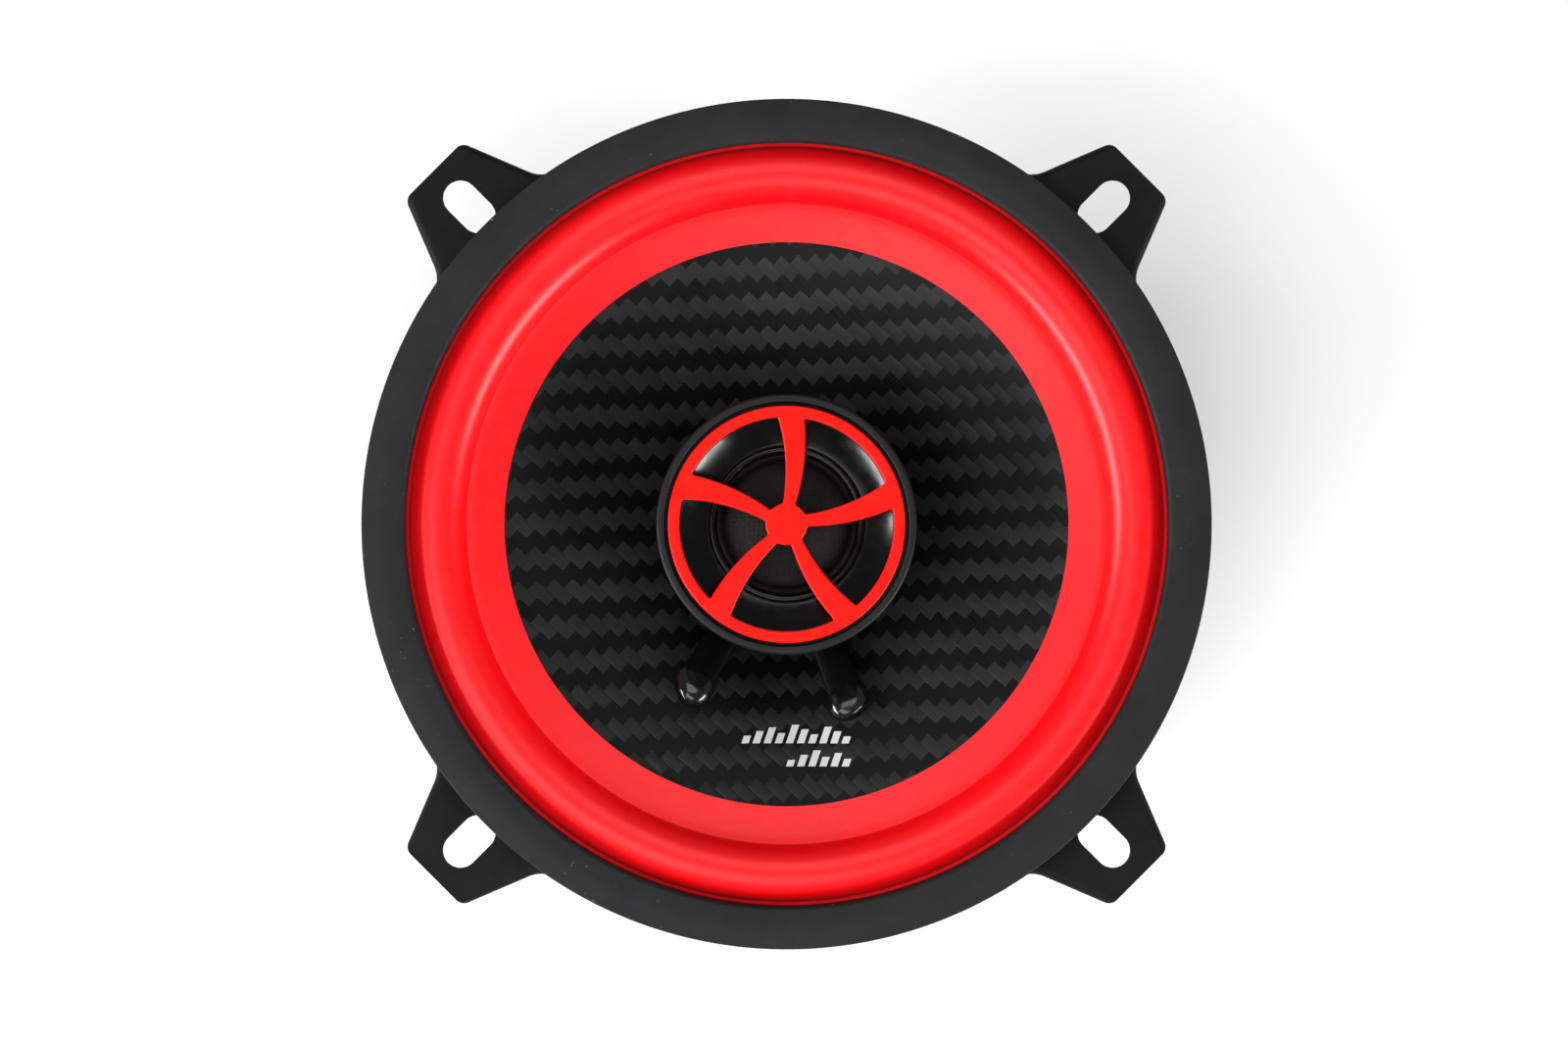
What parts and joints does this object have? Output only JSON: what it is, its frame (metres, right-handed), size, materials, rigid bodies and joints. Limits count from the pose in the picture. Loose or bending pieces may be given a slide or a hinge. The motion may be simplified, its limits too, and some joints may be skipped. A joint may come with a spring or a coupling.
{
  "type": "coaxial car speaker",
  "caption": "Round coaxial car speaker with a weave-patterned cone, red rubber surround, central tweeter pod with a red guard, slotted mounting ears and a rear magnet motor.",
  "frame": {"origin": "on the speaker's axis, in the plane where the frame's rim meets the door panel", "axes": "+Z along the speaker's axis towards the listener; the mounting ears on +X, +Y, -X and -Y; the terminals on the spoke between -X and -Y"},
  "size_m": [0.158, 0.158, 0.0605],
  "materials": {
    "painted_steel": "satin",
    "gasket_rubber": "matte",
    "surround_rubber": "satin",
    "cone_weave": "satin",
    "eyelet_brass": "satin",
    "copper_wire": "gloss",
    "former_film": "satin",
    "spider_cloth": "matte",
    "zinc_steel": "satin",
    "ferrite": "matte",
    "nickel_magnet": "satin",
    "pod_plastic": "satin",
    "face_plastic": "gloss",
    "guard_plastic": "satin",
    "post_plastic": "satin",
    "dome_film": "satin",
    "capacitor_sleeve": "gloss",
    "tinned_wire": "satin",
    "lead_sleeve": "satin",
    "glue": "gloss",
    "board_laminate": "satin",
    "tinsel_braid": "satin"
  },
  "bodies": {
    "frame": {"basket": "painted_steel", "front_gasket": "gasket_rubber", "top_plate": "zinc_steel", "plate_rivets": "zinc_steel", "magnet": "ferrite", "pole_yoke": "zinc_steel", "tweeter_post": "post_plastic", "tweeter_bolt": "zinc_steel", "tweeter_nut": "zinc_steel", "tweeter_housing": "pod_plastic", "tweeter_yoke": "zinc_steel", "tweeter_magnet": "nickel_magnet", "tweeter_pole_plate": "zinc_steel", "tweeter_diaphragm_ring": "post_plastic", "tweeter_faceplate": "face_plastic", "tweeter_guard": "guard_plastic", "crossover_capacitor": "capacitor_sleeve", "capacitor_wires": "tinned_wire", "terminal_board": "board_laminate", "terminal_rivet": "tinned_wire", "tweeter_lead_left": "lead_sleeve", "tweeter_lead_right": "lead_sleeve", "terminal_positive": "tinned_wire", "terminal_negative": "tinned_wire", "tinsel_lead_left": "tinsel_braid", "tinsel_lead_right": "tinsel_braid"},
    "cone_assembly": {"cone": "cone_weave", "surround": "surround_rubber", "spider": "spider_cloth", "voice_coil_former": "former_film", "voice_coil_winding": "copper_wire", "coil_leadouts": "copper_wire", "lead_eyelets": "eyelet_brass", "glue_domes": "glue"},
    "tweeter_diaphragm": {"tweeter_dome": "dome_film", "tweeter_suspension": "dome_film", "tweeter_coil_former": "former_film", "tweeter_coil_winding": "copper_wire"}
  },
  "joints": [
    {"name": "cone_travel", "type": "slide", "parent": "frame", "child": "cone_assembly", "axis": [0, 0, 1], "range_m": [-0.003, 0.003], "stiffness_N_per_m": 1800, "deforming": ["surround", "spider", "tweeter_lead_left", "tweeter_lead_right", "tinsel_lead_left", "tinsel_lead_right"]},
    {"name": "tweeter_travel", "type": "slide", "parent": "frame", "child": "tweeter_diaphragm", "axis": [0, 0, 1], "range_m": [-0.0003, 0.0003], "stiffness_N_per_m": 2000, "deforming": ["tweeter_suspension"]}
  ]
}
